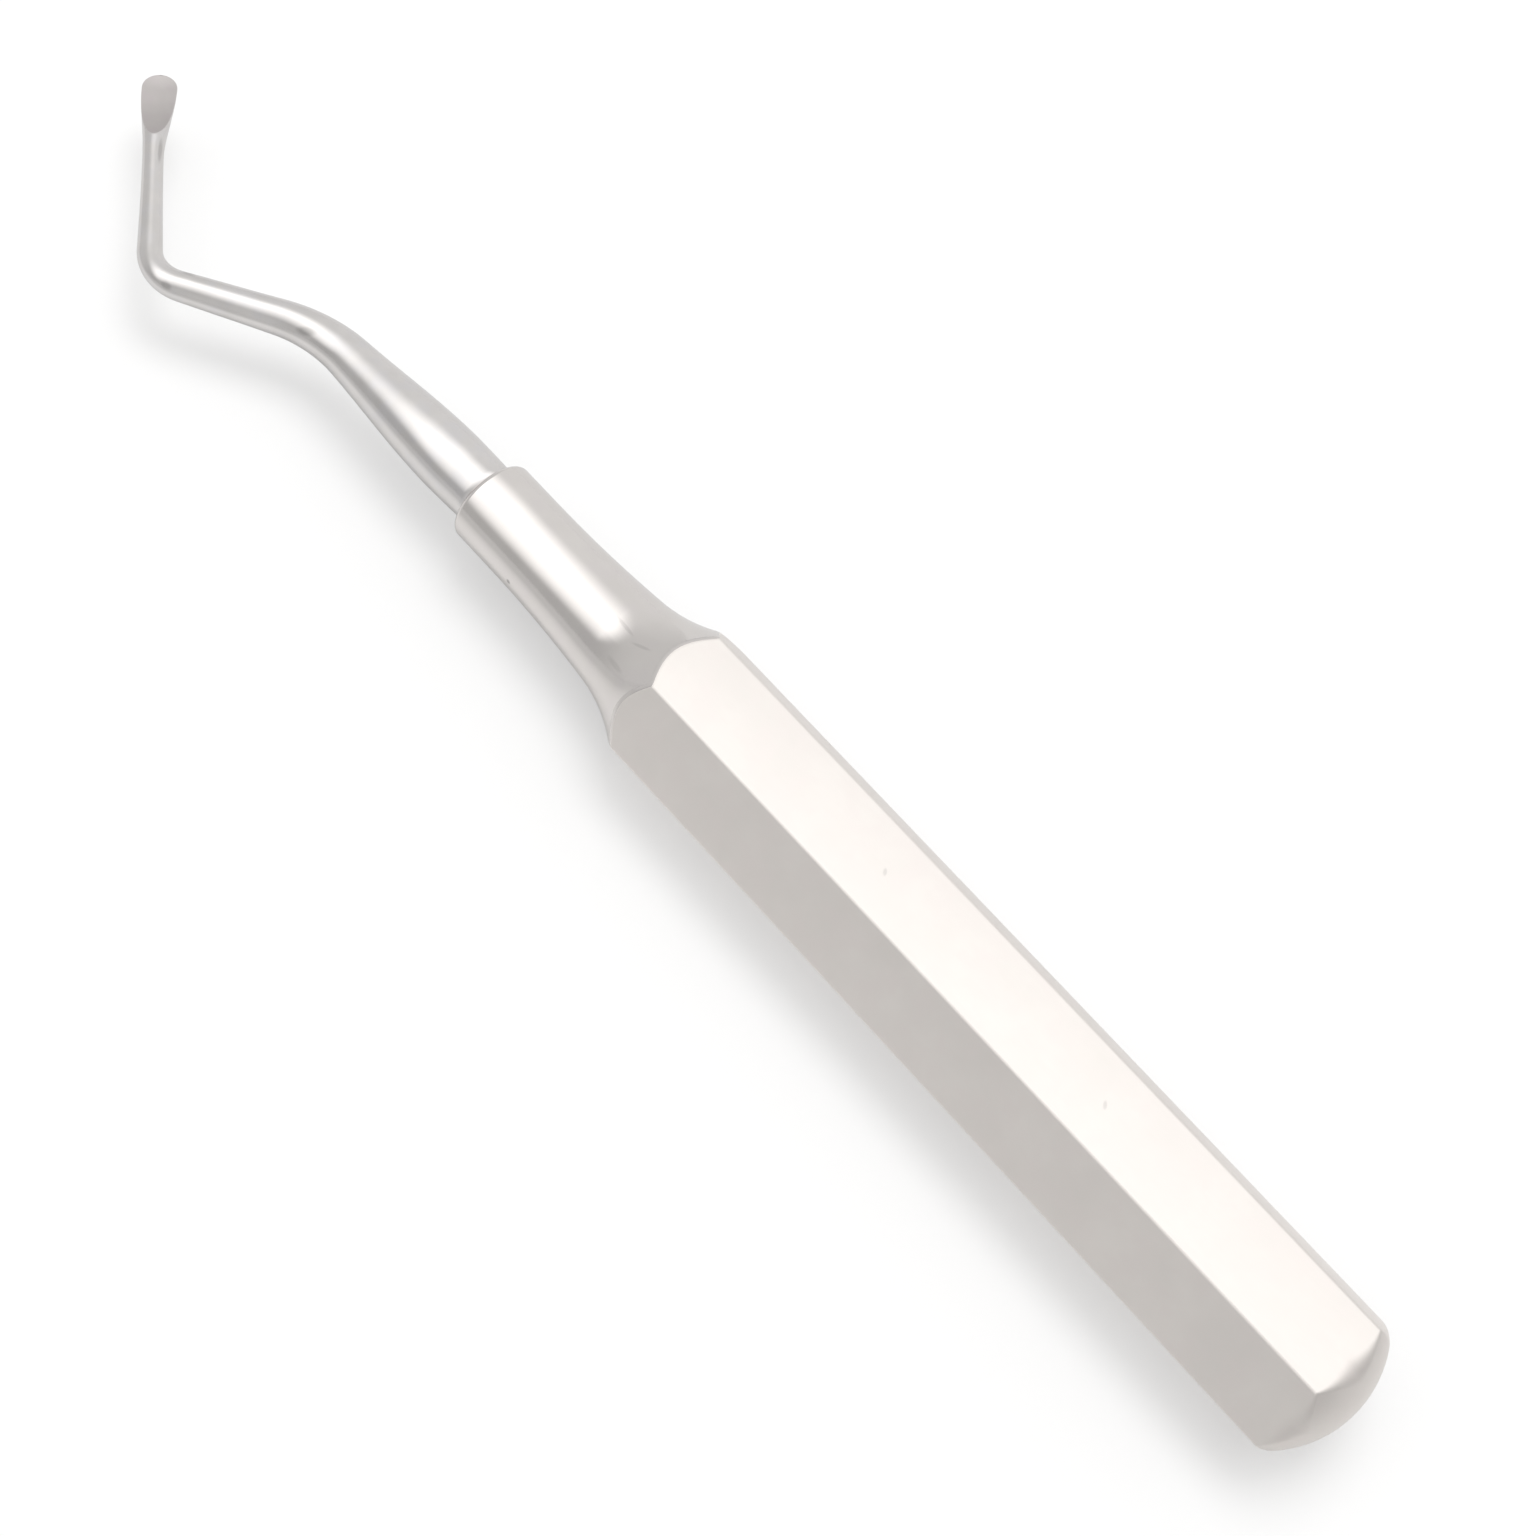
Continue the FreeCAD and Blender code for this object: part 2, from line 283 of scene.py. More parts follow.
class NodeBoard:
    """A material's or the world's node tree, with short calls to fill it."""

    def __init__(self, tree: bpy.types.NodeTree) -> None:
        """Clears the tree.

        Args:
            tree: the tree that is filled.
        """
        self.tree = tree
        tree.nodes.clear()

    def add(self, kind: str, *values: object, **settings: object) -> bpy.types.Node:
        """Adds a node.

        Args:
            kind: the node's type name.
            values: sockets or values for its inputs, in order.
            settings: its properties.

        Returns:
            The new node.
        """
        node = self.tree.nodes.new(kind)
        for name, value in settings.items():
            setattr(node, name, value)
        for target, value in zip(node.inputs, values):
            self.feed(target, value)
        return node

    def link(self, source: Socket, target: Socket) -> None:
        """Joins two sockets."""
        self.tree.links.new(source, target)

    def feed(self, target: Socket, value: object) -> None:
        """Links or sets an input.

        Args:
            target: the input socket.
            value: a socket to link, or the value to set.
        """
        if isinstance(value, Socket):
            self.link(value, target)
        else:
            target.default_value = value

    def math(self, operation: str, *values: object) -> Socket:
        """Adds a Math node on sockets or numbers, and gives its result."""
        return self.add("ShaderNodeMath", *values, operation=operation).outputs[0]

    def vector_math(self, operation: str, *values: object) -> bpy.types.Node:
        """Adds a Vector Math node on sockets or vectors."""
        return self.add("ShaderNodeVectorMath", *values, operation=operation)

    def ease(self, value: object, span: Span, start: float = 0.0, end: float = 1.0) -> Socket:
        """Smooth step from one value to another.

        Args:
            value: the input.
            span: where the step starts and ends.
            start: the result before the step.
            end: the result after it.

        Returns:
            The eased result.
        """
        node = self.add("ShaderNodeMapRange", value, *span, start, end, interpolation_type="SMOOTHSTEP")
        return node.outputs["Result"]

    def blend(self, share: object, first: object, second: object) -> Socket:
        """Mixes two colours.

        Args:
            share: how much of the second, from 0 to 1.
            first: a socket or a colour.
            second: a socket or a colour.

        Returns:
            The mixed colour.
        """
        node = self.add("ShaderNodeMix", data_type="RGBA")
        self.feed(node.inputs["Factor"], share)
        self.feed(node.inputs["A"], first)
        self.feed(node.inputs["B"], second)
        return next(socket for socket in node.outputs if socket.type == "RGBA")

    def fade(self, value: object, span: Span) -> Socket:
        """Smooth step down from 1 to 0, over a span of the input."""
        return self.ease(value, span, 1.0, 0.0)

    def toward(self, share: object, first: object, second: object) -> Socket:
        """Mixes two sockets or numbers, by the share of the second."""
        return self.math("MULTIPLY_ADD", share, self.math("SUBTRACT", second, first), first)

    def grain(self, scale: Triple, detail: float, seed: float) -> Socket:
        """Noise on object coordinates.

        Args:
            scale: how fine it is along each axis, in waves per metre.
            detail: the number of finer layers.
            seed: moves the pattern.

        Returns:
            A value round one half.
        """
        place = self.add("ShaderNodeTexCoord")
        mapping = self.add("ShaderNodeMapping", place.outputs["Object"])
        mapping.inputs["Scale"].default_value = scale
        mapping.inputs["Location"].default_value = tuple(seed * share for share in GRAIN_SHIFT)
        noise = self.add("ShaderNodeTexNoise", mapping.outputs["Vector"], noise_dimensions="3D")
        noise.inputs["Scale"].default_value = 1.0
        noise.inputs["Detail"].default_value = detail
        return noise.outputs["Fac"]


@dataclass(frozen=True)
class Mark:
    """A small dark mark on the steel: a fleck, a blotch, or a dark streak painted in as a reflection; place
    and reach in millimetres, heading in degrees, strength.
    """

    place: Triple
    reach: Triple
    heading: float
    strength: float

    def mask(self, board: NodeBoard) -> Socket:
        """How strong the mark is at each point.

        Args:
            board: the material's tree.

        Returns:
            A value from 0 to the mark's strength.
        """
        source = board.add("ShaderNodeTexCoord")
        middle = tuple(size * MM for size in self.place)
        moved = board.vector_math("SUBTRACT", source.outputs["Object"], middle)
        turned = board.add("ShaderNodeVectorRotate", moved.outputs[0], rotation_type="Z_AXIS")
        turned.inputs["Angle"].default_value = -math.radians(self.heading)
        scaled = board.vector_math("DIVIDE", turned.outputs[0], tuple(size * MM for size in self.reach))
        length = board.vector_math("LENGTH", scaled.outputs[0])
        return board.ease(length.outputs["Value"], MARK_SPAN, self.strength, 0.0)


@dataclass(frozen=True)
class SteelFinish:
    """Stainless steel: its tone, how it scatters light, and its grain."""

    name: str
    tone: Triple
    shade: Triple
    tint: Triple
    roughness: float
    bump: float
    grain_scale: Triple
    cloud_scale: float
    tint_scale: float
    roughness_spread: float = 0.06
    tint_share: float = 0.6
    marks: Tuple[Mark, ...] = ()
    mark_tone: Triple = (0.32, 0.31, 0.30)

    def build(self) -> bpy.types.Material:
        """Makes the material.

        Returns:
            The node material.
        """
        material = bpy.data.materials.new(self.name)
        material.use_nodes = True
        board = NodeBoard(material.node_tree)
        output = board.add("ShaderNodeOutputMaterial")
        shader = board.add("ShaderNodeBsdfPrincipled")
        board.link(shader.outputs["BSDF"], output.inputs["Surface"])
        shader.inputs["Metallic"].default_value = 1.0
        cloud = board.grain((self.cloud_scale,) * 3, CLOUD_DETAIL, CLOUD_SEED)
        grain = board.grain(self.grain_scale, FINE_DETAIL, GRAIN_SEED)
        tone = board.blend(board.ease(cloud, CLOUD_SPAN), (*self.shade, 1.0), (*self.tone, 1.0))
        mottle = board.grain((self.tint_scale,) * 3, FINE_DETAIL, MOTTLE_SEED)
        tinted = board.ease(mottle, MOTTLE_SPAN, 0.0, self.tint_share)
        tone = board.blend(tinted, tone, (*self.tint, 1.0))
        # Darkens the tone under the marks: flecks, blotches and painted reflection streaks
        marks_and_painted_streaks: Optional[Socket] = None
        for mark in self.marks:
            mask = mark.mask(board)
            marks_and_painted_streaks = mask if marks_and_painted_streaks is None else board.math("MAXIMUM", marks_and_painted_streaks, mask)
        if marks_and_painted_streaks is not None:
            tone = board.blend(marks_and_painted_streaks, tone, (*self.mark_tone, 1.0))
        board.link(tone, shader.inputs["Base Color"])
        roughness: object = self.roughness
        for pattern in (grain, cloud):
            offset = board.math("SUBTRACT", pattern, GRAIN_MIDDLE)
            roughness = board.math("MULTIPLY_ADD", offset, self.roughness_spread, roughness)
        board.link(roughness, shader.inputs["Roughness"])
        bump = board.add("ShaderNodeBump")
        bump.inputs["Strength"].default_value = self.bump
        bump.inputs["Distance"].default_value = BUMP_HEIGHT * MM
        board.link(grain, bump.inputs["Height"])
        board.link(bump.outputs["Normal"], shader.inputs["Normal"])
        return material


# Handle


@dataclass
class Handle:
    """Hexagonal grip with a domed butt, turned down to a slim neck and a collar."""

    across_flats: float = 12.7
    grip_length: float = 72.6
    dome_radius: float = 9.6
    edge_round: float = 0.35
    butt_round: float = 2.4
    butt_corner_round: float = 0.2
    butt_round_rings: int = 8
    flat_ease: float = 0.1
    flare_radius: float = 14.0
    swell_radius: float = 130.0
    swell_length: float = 12.8
    collar_diameter: float = 7.9
    collar_length: float = 4.7
    collar_edge_round: float = 0.65
    collar_edge_drop: float = 1.1
    collar_shares: Triple = (0.35, 0.7, 1.0)
    socket_mouth_radius: float = 2.4
    socket_radius: float = 2.02
    socket_depth: float = 14.6
    socket_land: float = 0.5
    socket_point: float = 0.8
    socket_point_radius: float = 0.7
    flare_edge_round: float = 0.3
    flare_edge_segments: int = 3
    corner_steps: int = 8
    flat_steps: int = 24
    dome_rings: int = 20
    flare_rings: int = 22
    swell_rings: int = 12
    collar_rings: int = 9
    finishes: Dict[Zone, SteelFinish] = field(default_factory=dict)

    def __post_init__(self) -> None:
        """Works out the stations along the axis."""
        self.axis_height = self.across_flats / 2.0
        self.collar_radius = self.collar_diameter / 2.0
        self.swell_angle = math.asin(self.swell_length / self.swell_radius)
        self.neck_radius = self.collar_radius + self.swell_radius * (1.0 - math.cos(self.swell_angle))
        self.shoulder = self.grip_length / 2.0
        self.corner_reach = self.across_flats / math.sqrt(3.0)
        self.dome_centre = -self.shoulder + math.sqrt(self.dome_radius ** 2 - self.corner_reach ** 2)
        self.flare_centre_r = self.neck_radius + self.flare_radius * math.cos(self.swell_angle)
        corner_angle = math.acos((self.flare_centre_r - self.corner_reach) / self.flare_radius)
        self.flare_centre_x = self.shoulder + self.flare_radius * math.sin(corner_angle)
        self.flare_end = self.flare_centre_x - self.flare_radius * math.sin(self.swell_angle)
        self.barrel_start = self.flare_end + self.swell_length
        self.front = self.barrel_start + self.collar_length
        self.flare_edge = 0
        self.outline_spokes = self.outline()

    def outline(self) -> List[Span]:
        """The hexagon's outline with its rounded corners.

        Returns:
            Angle and radius of each spoke, with closer spokes round the corners.
        """
        half_turn = math.radians(SECTOR / 2.0)
        centre = (self.axis_height - self.edge_round) / math.cos(half_turn)
        points: List[Vector] = []

        def rounded(middle: float, turn: float) -> Vector:
            """Point of the corner's round, from the corner's angle and its own."""
            return Vector((centre * math.cos(middle) + self.edge_round * math.cos(turn),
                           centre * math.sin(middle) + self.edge_round * math.sin(turn)))

        for corner in range(CORNERS):
            middle = math.radians(SECTOR * corner)
            for step in range(self.corner_steps + 1):
                turn = middle - half_turn + 2.0 * half_turn * step / self.corner_steps
                points.append(rounded(middle, turn))
            start = points[-1]
            following = middle + 2.0 * half_turn
            end = rounded(following, following - half_turn)
            points.extend(start.lerp(end, step / self.flat_steps) for step in range(1, self.flat_steps))
        spokes = [(math.atan2(point.y, point.x), point.length) for point in points]
        return [(angle, reach - self.eased(angle)) for angle, reach in spokes]

    def eased(self, angle: float) -> float:
        """How far the buffed edges of a flat fall short of a true flat.

        Args:
            angle: the spoke's angle in radians.

        Returns:
            The depth taken off.
        """
        from_middle = abs((math.degrees(angle) + SECTOR) % SECTOR - SECTOR / 2.0)
        share = math.tan(math.radians(from_middle)) / math.tan(math.radians(SECTOR / 2.0))
        return self.flat_ease * share ** 2

    def ring(self, stations: Sequence[Span]) -> Ring:
        """One ring of points about the axis, from each spoke's place along it and radius."""
        return [Vector((x, radius * math.cos(angle), self.axis_height + radius * math.sin(angle)))
                for (angle, _), (x, radius) in zip(self.outline_spokes, stations)]

    def round_ring(self, x: float, radius: float) -> Ring:
        """A plain round ring, by its place along the axis and its radius."""
        return self.ring([(x, radius)] * len(self.outline_spokes))

    def shaped_ring(self, station: Callable[[float, float], Span], share: float) -> Ring:
        """A ring of stations that depend on each spoke's reach."""
        return self.ring([station(reach, share) for _, reach in self.outline_spokes])

    def dome_station(self, reach: float, share: float) -> Span:
        """A spoke's station on the dome, inside its rounded edge.

        Args:
            reach: the flat's distance from the axis at the spoke.
            share: 0 at the butt's middle, 1 where the edge round starts.

        Returns:
            Its place along the axis and its radius.
        """
        back, out = self.edge_centre(reach)
        turn = math.atan2(out, back) * share
        return self.dome_centre - self.dome_radius * math.cos(turn), self.dome_radius * math.sin(turn)

    def butt_radius(self, reach: float) -> float:
        """Radius of the round between dome and flats, which tightens towards the hexagon's corners."""
        share = math.sqrt(max(0.0, reach - self.axis_height) / (self.corner_reach - self.axis_height))
        return self.butt_round + (self.butt_corner_round - self.butt_round) * share

    def edge_centre(self, reach: float) -> Span:
        """Centre of the round between dome and flat, in one spoke's plane.

        Args:
            reach: the flat's distance from the axis at the spoke.

        Returns:
            How far the centre lies behind the dome's centre, and out from the axis.
        """
        radius = self.butt_radius(reach)
        out = reach - radius
        return math.sqrt((self.dome_radius - radius) ** 2 - out ** 2), out

    def butt_station(self, reach: float, share: float) -> Span:
        """A spoke's station on the round between dome and flats.

        Args:
            reach: the flat's distance from the axis at the spoke.
            share: 0 at the dome, 1 at the flats.

        Returns:
            Its place along the axis and its radius.
        """
        back, out = self.edge_centre(reach)
        radius = self.butt_radius(reach)
        start = math.atan2(out, back)
        turn = start + (QUARTER_TURN - start) * share
        return self.dome_centre - back - radius * math.cos(turn), out + radius * math.sin(turn)

    def flare_station(self, reach: float, share: float) -> Span:
        """A spoke's station on the flare.

        Args:
            reach: the flat's distance from the axis at the spoke.
            share: 0 where the flare meets the flats, 1 at its neck end.

        Returns:
            Its place along the axis and its radius.
        """
        widest = math.acos((self.flare_centre_r - reach) / self.flare_radius)
        turn = widest + (self.swell_angle - widest) * share
        return (self.flare_centre_x - self.flare_radius * math.sin(turn),
                self.flare_centre_r - self.flare_radius * math.cos(turn))

    def grow(self) -> Piece:
        """Grows the whole handle from the butt to the bottom of its socket.

        Returns:
            The mesh object, in millimetres.
        """
        form = RingTurner("handle_body", self.shaped_ring(self.dome_station, 1.0 / self.dome_rings))
        for step in range(2, self.dome_rings + 1):
            form.grow(self.shaped_ring(self.dome_station, step / self.dome_rings))
        for step in range(1, self.butt_round_rings + 1):
            form.grow(self.shaped_ring(self.butt_station, step / self.butt_round_rings))
        self.flare_edge = form.grow(self.shaped_ring(self.flare_station, 0.0))
        for step in range(1, self.flare_rings + 1):
            form.grow(self.shaped_ring(self.flare_station, step / self.flare_rings))
        for step in range(1, self.swell_rings + 1):
            turn = self.swell_angle * (1.0 - step / self.swell_rings)
            form.grow(self.round_ring(self.barrel_start - self.swell_radius * math.sin(turn),
                                      self.collar_radius + self.swell_radius * (1.0 - math.cos(turn))))
        straight = self.collar_length - self.collar_edge_round
        for share in self.collar_shares:
            form.grow(self.round_ring(self.barrel_start + straight * share, self.collar_radius))
        for step in range(1, self.collar_rings + 1):
            turn = QUARTER_TURN * step / self.collar_rings
            form.grow(self.round_ring(self.front - self.collar_edge_round * (1.0 - math.sin(turn)),
                                      self.collar_radius - self.collar_edge_drop * (1.0 - math.cos(turn))))
        form.grow(self.round_ring(self.front, self.socket_mouth_radius))
        for depth in (0.0, self.socket_land, self.socket_depth - self.socket_land, self.socket_depth):
            form.grow(self.round_ring(self.front - depth, self.socket_radius))
        bottom = self.front - (self.socket_depth + self.socket_point)
        form.grow(self.round_ring(bottom, self.socket_point_radius))
        return form.close()

    def paint(self, obj: Piece) -> None:
        """Gives the faces their finish and softens the edges of the flats.

        Args:
            obj: the grown handle.
        """
        for zone in (Zone.SATIN, Zone.POLISHED):
            obj.data.materials.append(self.finishes[zone].build())
        Bench.edit(obj)
        mesh = bmesh.from_edit_mesh(obj.data)
        ring = mesh.verts.layers.int["ring"]
        for face in mesh.faces:
            lowest = min(vertex[ring] for vertex in face.verts)
            face.material_index = (Zone.POLISHED if lowest >= self.flare_edge else Zone.SATIN).value
        bmesh.update_edit_mesh(obj.data)
        bpy.ops.mesh.select_mode(type="EDGE")
        RingTurner.pick_ring(obj, self.flare_edge)
        bpy.ops.mesh.bevel(offset=self.flare_edge_round, segments=self.flare_edge_segments, affect="EDGES")
        bpy.ops.mesh.select_mode(type="VERT")
        bpy.ops.object.mode_set(mode="OBJECT")

    def build(self) -> None:
        """Builds, dresses and mounts the handle."""
        obj = self.grow()
        self.paint(obj)
        Bench.smooth(obj)
        Bench.to_metres(obj)
        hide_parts("handle")
        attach(obj, "root")
        LOG.info("handle: %d faces, front at %.2f mm", len(obj.data.polygons), self.front)


# Working end


@dataclass(frozen=True)
class Leg:
    """A straight run or a bend of the shank's centreline."""

    length: float
    turn: float


@dataclass
class WorkingEnd:
    """Tang, bottle-shaped root, tapering twice-bent shank and small spoon, in one piece."""

    front: float
    axis_height: float
    tang_radius: float = 2.0
    tang_length: float = 14.0
    tang_chamfer: float = 0.4
    tang_tip_radius: float = 0.6
    tang_land: float = 0.4
    root_round: float = 0.65
    root_drop: float = 0.35
    root_rings: int = 6
    root_clearance: float = 1.2
    shank_lean: float = 1.6
    lean_radius: float = 60.0
    first_bend_distance: float = 21.9
    first_bend_angle: float = 31.0
    first_bend_radius: float = 14.0
    run_between_bends: float = 15.7
    second_bend_angle: float = -69.7
    second_bend_radius: float = 4.1
    run_to_spoon: float = 14.0
    spoon_toe_in: float = -3.0
    spoon_toe_radius: float = 20.0
    root_diameter: float = 5.8
    belly_diameter: float = 6.0
    belly_distance: float = 4.5
    waist_diameter: float = 4.15
    middle_diameter: float = 3.22
    elbow_diameter: float = 2.66
    forearm_diameter: float = 2.22
    throat_diameter: float = 1.84
    throat_setback: float = 1.4
    spoon_width: float = 3.14
    spoon_thickness: float = 2.0
    throat_to_nose_centre: float = 7.2
    rim_height: float = 0.1
    rim_flat_length: float = 1.05
    rim_runout_radius: float = 14.8
    bowl_wall: float = 0.06
    bowl_depth: float = 0.13
    lip_least: float = 0.02
    scoop_steps: int = 18
    scoop_rings: int = 30
    spokes: int = 72
    ring_spacing: float = 0.55
    elbow_spacing: float = 0.2
    least_rings: int = 2
    nose_rings: int = 14
    nose_end: float = 0.985
    finishes: Dict[Zone, SteelFinish] = field(default_factory=dict)

    def __post_init__(self) -> None:
        """Works out the centreline's legs and the diameters along it."""
        first = self._tangent(self.first_bend_radius, self.first_bend_angle)
        second = self._tangent(self.second_bend_radius, self.second_bend_angle)
        toe = self._tangent(self.spoon_toe_radius, self.spoon_toe_in)
        lean = self._tangent(self.lean_radius, self.shank_lean)
        self.legs = [
            self._bend(self.lean_radius, self.shank_lean),
            Leg(self.first_bend_distance - first - 2.0 * lean, 0.0),
            self._bend(self.first_bend_radius, self.first_bend_angle),
            Leg(self.run_between_bends - first - second, 0.0),
            self._bend(self.second_bend_radius, self.second_bend_angle),
            Leg(self.run_to_spoon - second - toe, 0.0),
            self._bend(self.spoon_toe_radius, self.spoon_toe_in),
            Leg(self.throat_to_nose_centre - toe, 0.0),
        ]
        self.ends = list(accumulate(leg.length for leg in self.legs))
        _, waist, middle, elbow, forearm, _, toe, nose = self.ends
        self.elbow_end = forearm
        self.throat = toe - self.throat_setback
        self.girths = [
            (0.0, self.root_diameter),
            (self.belly_distance, self.belly_diameter),
            (waist, self.waist_diameter),
            (middle, self.middle_diameter),
            (elbow, self.elbow_diameter),
            (forearm, self.forearm_diameter),
            (self.throat, self.throat_diameter),
            (nose, self.spoon_width),
        ]

    @staticmethod
    def _tangent(radius: float, angle: float) -> float:
        """Length of a bend's tangent, for its radius and its angle in degrees."""
        return radius * math.tan(math.radians(abs(angle)) / 2.0)

    @staticmethod
    def _bend(radius: float, angle: float) -> Leg:
        """A bend of that radius and angle in degrees."""
        return Leg(radius * math.radians(abs(angle)), math.radians(angle))

    def place(self, distance: float) -> Tuple[Vector, float]:
        """Point and heading on the centreline.

        Args:
            distance: how far from the collar, along the centreline.

        Returns:
            The point, and the heading in radians.
        """
        x, y, heading = self.front, 0.0, 0.0
        left = distance
        for leg in self.legs:
            step = min(left, leg.length)
            if leg.turn == 0.0:
                x += step * math.cos(heading)
                y += step * math.sin(heading)
            else:
                radius = leg.length / leg.turn
                end = heading + step / radius
                x += radius * (math.sin(end) - math.sin(heading))
                y += radius * (math.cos(heading) - math.cos(end))
                heading = end
            left -= step
        return Vector((x, y, self.axis_height)), heading

    def girth(self, distance: float) -> float:
        """Diameter of the shank, smooth and with no overshoot between its stations.

        Args:
            distance: how far from the collar, along the centreline.

        Returns:
            The diameter.
        """
        slopes = [(after[1] - before[1]) / (after[0] - before[0])
                  for before, after in zip(self.girths, self.girths[1:])]
        tangents = [slopes[0]]
        for before, after in zip(slopes, slopes[1:]):
            tangents.append(2.0 * before * after / (before + after) if before * after > 0 else 0.0)
        tangents.append(0.0)
        index = 0
        while index < len(slopes) - 1 and distance > self.girths[index + 1][0]:
            index += 1
        (start, first), (end, last) = self.girths[index], self.girths[index + 1]
        span = end - start
        share = (distance - start) / span
        rise = share * share * (3.0 - 2.0 * share)
        return (first + rise * (last - first) + share * (1.0 - share) ** 2 * span * tangents[index]
                - share * share * (1.0 - share) * span * tangents[index + 1])

    def half_height(self, distance: float) -> float:
        """Half the shank's height: round to the throat, then flattened into the spoon.

        Args:
            distance: how far from the collar, along the centreline.

        Returns:
            Half the height.
        """
        half_width = self.girth(distance) / 2.0
        if distance <= self.throat:
            return half_width
        thin = self.throat_diameter / 2.0
        share = (half_width - thin) / (self.spoon_width / 2.0 - thin)
        return thin + share * (self.spoon_thickness / 2.0 - thin)

    def lift(self, distance: float) -> float:
        """Rise of the section's centre, which keeps the spoon's underside level."""
        return self.half_height(distance) - self.throat_diameter / 2.0 if distance > self.throat else 0.0

    @staticmethod
    def ahead_of(heading: float) -> Vector:
        """Level unit vector along a heading."""
        return Vector((math.cos(heading), math.sin(heading), 0.0))

    @staticmethod
    def side_of(heading: float) -> Vector:
        """Level unit vector to the left of a heading."""
        return Vector((-math.sin(heading), math.cos(heading), 0.0))

    def oval(self, centre: Vector, heading: float, half_width: float, half_height: float) -> Ring:
        """An oval ring across the centreline.

        Args:
            centre: the ring's middle.
            heading: the centreline's heading in radians.
            half_width: half its width, level.
            half_height: half its height.

        Returns:
            The ring's points.
        """
        side = self.side_of(heading)
        up = Vector((0.0, 0.0, 1.0))
        turns = (2.0 * math.pi * number / self.spokes for number in range(self.spokes))
        return [centre + side * (half_width * math.cos(turn)) + up * (half_height * math.sin(turn))
                for turn in turns]

    def distances(self) -> List[float]:
        """Distances of the rings along the centreline, closer round the elbow.

        Returns:
            The distances from the collar, in order.
        """
        result: List[float] = []
        start = 0.0
        for end in self.ends:
            spacing = self.elbow_spacing if end == self.elbow_end else self.ring_spacing
            count = max(self.least_rings, round((end - start) / spacing))
            result.extend(start + (end - start) * step / count for step in range(1, count + 1))
            start = end
        return [distance for distance in result if distance > self.root_round * self.root_clearance]

    def nose_point(self, forward: float, height: float) -> Vector:
        """Point in the spoon's plane of symmetry.

        Args:
            forward: distance ahead of the nose's centre.
            height: height above the rim.

        Returns:
            The point.
        """
        centre, heading = self.place(self.ends[-1])
        point = centre + self.ahead_of(heading) * forward
        point.z = self.axis_height + self.rim_height + height
        return point

    def grow(self) -> Piece:
        """Grows tang, shank and uncut spoon.

        Returns:
            The mesh object, in millimetres.
        """
        tail = self.front - self.tang_length

        def on_axis(x: float, radius: float) -> Ring:
            """A round ring about the handle's axis."""
            return self.oval(Vector((x, 0.0, self.axis_height)), 0.0, radius, radius)

        form = RingTurner("working_end_body", on_axis(tail, self.tang_tip_radius))
        form.grow(on_axis(tail, self.tang_radius - self.tang_chamfer))
        form.grow(on_axis(tail + self.tang_chamfer, self.tang_radius))
        form.grow(on_axis(self.front - self.tang_land, self.tang_radius))
        form.grow(on_axis(self.front, self.tang_radius))
        root = self.root_diameter / 2.0
        form.grow(on_axis(self.front, root - self.root_drop))
        for step in range(1, self.root_rings + 1):
            turn = QUARTER_TURN * step / self.root_rings
            distance = self.root_round * (1.0 - math.cos(turn))
            radius = self.girth(distance) / 2.0 - self.root_drop * (1.0 - math.sin(turn))
            centre, heading = self.place(distance)
            form.grow(self.oval(centre, heading, radius, radius))
        for distance in self.distances():
            centre, heading = self.place(distance)
            centre = centre + Vector((0.0, 0.0, self.lift(distance)))
            form.grow(self.oval(centre, heading, self.girth(distance) / 2.0, self.half_height(distance)))
        centre, heading = self.place(self.ends[-1])
        centre = centre + Vector((0.0, 0.0, self.lift(self.ends[-1])))
        ahead = self.ahead_of(heading)
        reach = self.spoon_width / 2.0
        for step in range(1, self.nose_rings + 1):
            turn = QUARTER_TURN * min(step / self.nose_rings, self.nose_end)
            form.grow(self.oval(centre + ahead * (reach * math.sin(turn)), heading,
                                reach * math.cos(turn), self.spoon_thickness / 2.0 * math.cos(turn)))
        return form.close()

    def rim_line(self, forward: float) -> float:
        """Rise of the rim at a distance ahead of the nose's centre: none in front, most at the throat."""
        behind = max(0.0, -self.rim_flat_length - forward)
        return self.rim_runout_radius - math.sqrt(self.rim_runout_radius ** 2 - behind ** 2)

    def lip_reach(self, forward: float) -> float:
        """Half the width of the hollow between its lips.

        Args:
            forward: distance ahead of the nose's centre.

        Returns:
            Half the width, never quite nothing.
        """
        if forward > 0.0:
            nose = self.spoon_width / 2.0 - self.bowl_wall
            return math.sqrt(max(self.lip_least ** 2, nose ** 2 - forward ** 2))
        distance = self.ends[-1] + forward
        level = (self.rim_height + self.rim_line(forward) - self.lift(distance)) / self.half_height(distance)
        body = self.girth(distance) / 2.0 * math.sqrt(max(0.0, 1.0 - level ** 2))
        return max(self.lip_least, body - self.bowl_wall)

    def scoop_ring(self, forward: float) -> Ring:
        """Cross-section of the shape that cuts rim and hollow.

        Args:
            forward: distance ahead of the nose's centre.

        Returns:
            The ring's points: rim, hollow, rim, and a level top well above.
        """
        _, heading = self.place(self.ends[-1])
        side = self.side_of(heading)
        clear = self.spoon_width
        half = self.lip_reach(forward)
        depth = self.bowl_depth * (half / self.lip_reach(0.0)) ** 2
        rim = self.rim_line(forward)
        section = [(rim, -clear)]
        for step in range(self.scoop_steps + 1):
            across = 2.0 * step / self.scoop_steps - 1.0
            section.append((rim - depth * (1.0 - across ** 2), half * across))
        section += [(rim, clear), (self.spoon_thickness, clear), (self.spoon_thickness, -clear)]
        return [self.nose_point(forward, height) + side * out for height, out in section]

